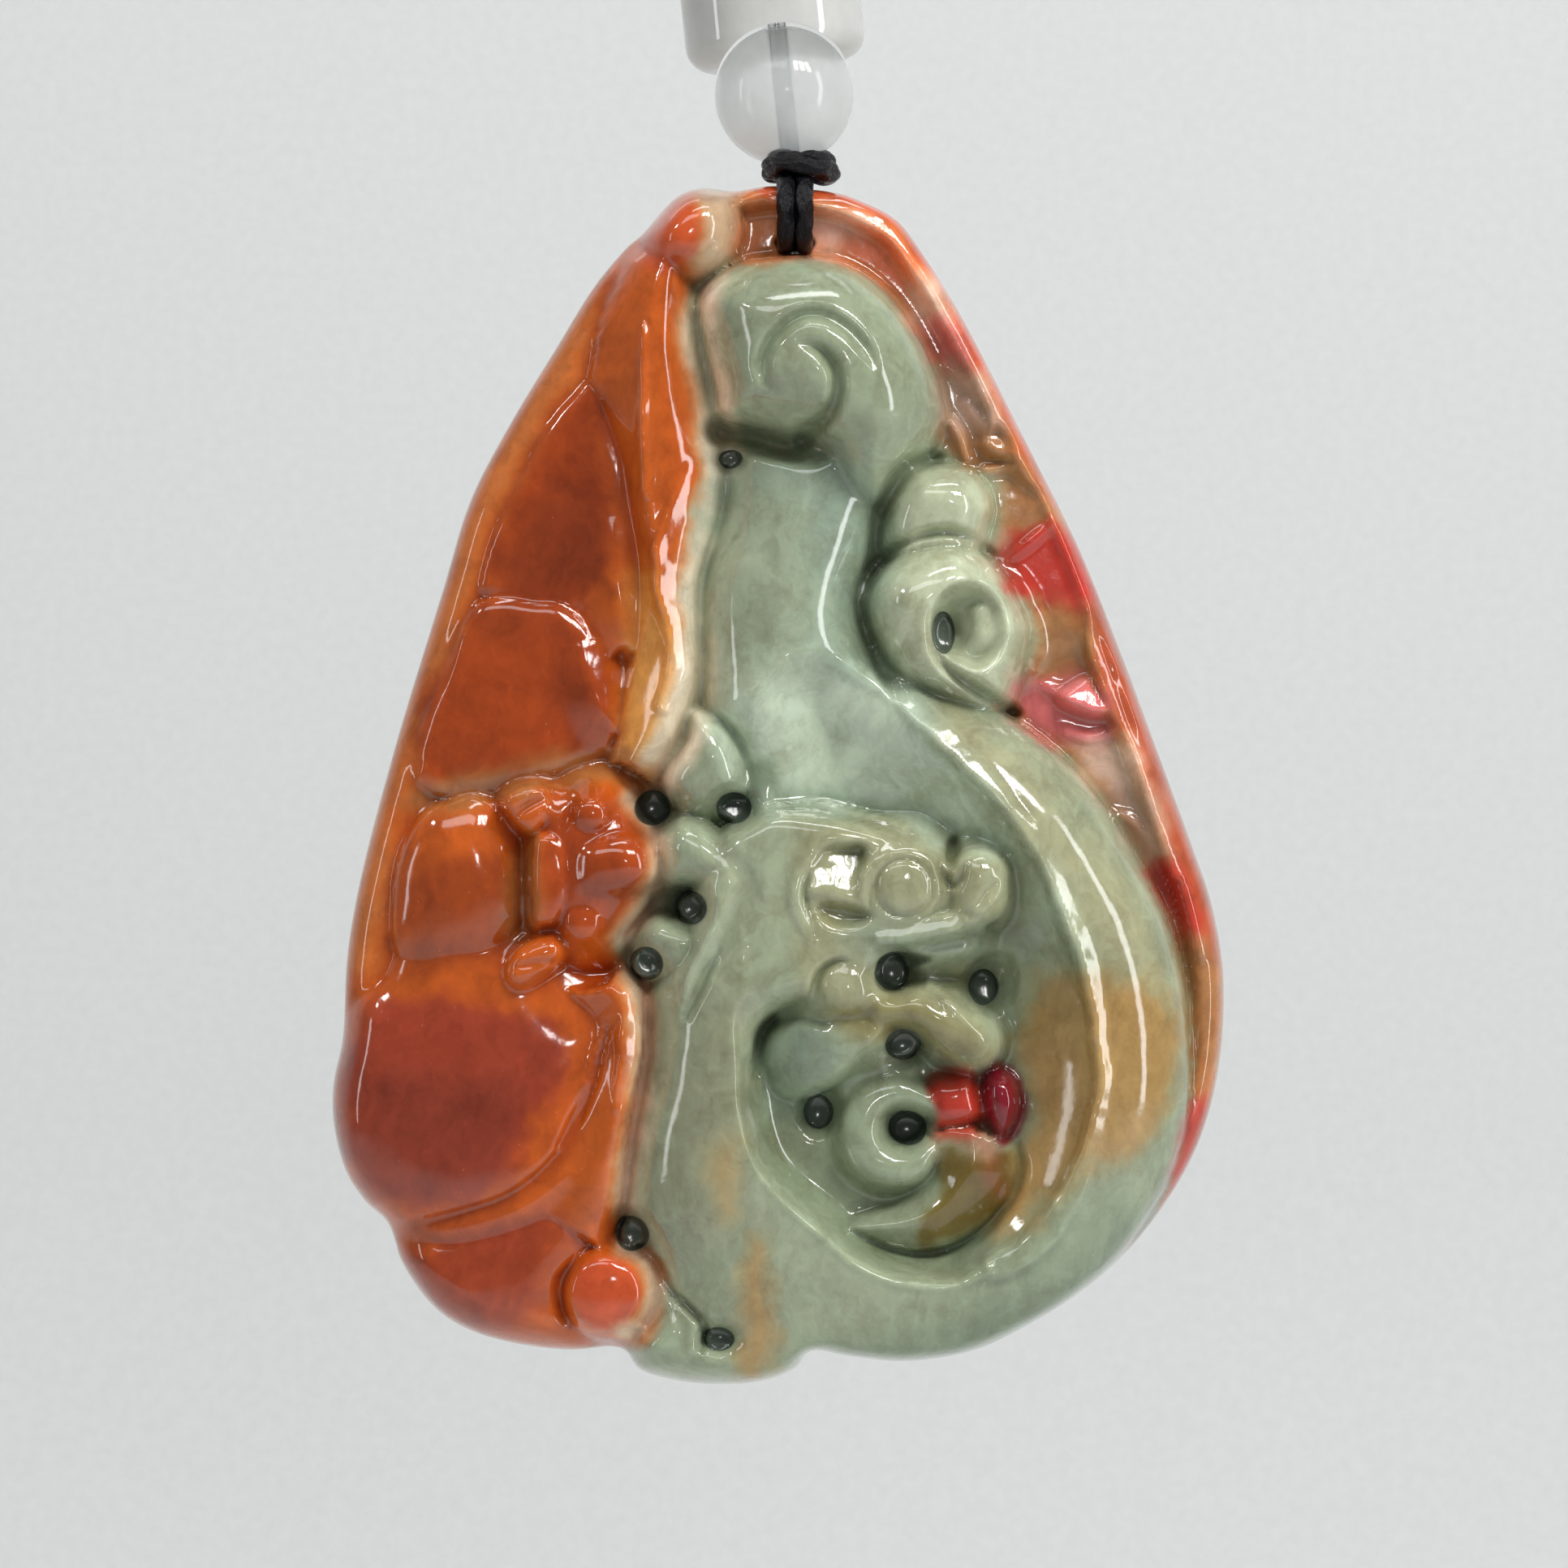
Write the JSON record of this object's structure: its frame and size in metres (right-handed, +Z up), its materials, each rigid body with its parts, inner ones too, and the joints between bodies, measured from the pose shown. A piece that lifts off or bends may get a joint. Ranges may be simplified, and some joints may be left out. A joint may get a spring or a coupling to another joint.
{
  "type": "jade pendant",
  "caption": "Carved jade drop pendant with a bat and a curling dragon in relief, hung by a short black cord loop under a round and a barrel bead on a clear thread.",
  "frame": {"origin": "top of the clear thread's loop, where the pendant hangs", "axes": "+Z up, +X to the viewer's right when facing the carved face, -Y out of the carved face"},
  "size_m": [0.0386, 0.0109, 0.0737],
  "materials": {
    "jade": "polished, orange and red skin over green",
    "cord": "waxed braid",
    "milky_bead": "polished, milky",
    "clear_thread": "clear nylon"
  },
  "bodies": {
    "hanger": {"cord_strand_left": "cord", "cord_strand_right": "cord", "cord_knot": "cord", "round_bead": "milky_bead", "barrel_bead": "milky_bead", "bead_thread": "clear_thread"},
    "pendant": {"jade_carving": "jade"}
  },
  "joints": [
    {"name": "carving_swing", "type": "hinge", "parent": "hanger", "child": "pendant", "pos_m": [0.00233, 0, -0.02406], "axis": [0, 1, 0], "range_deg": [-6, 6]}
  ]
}
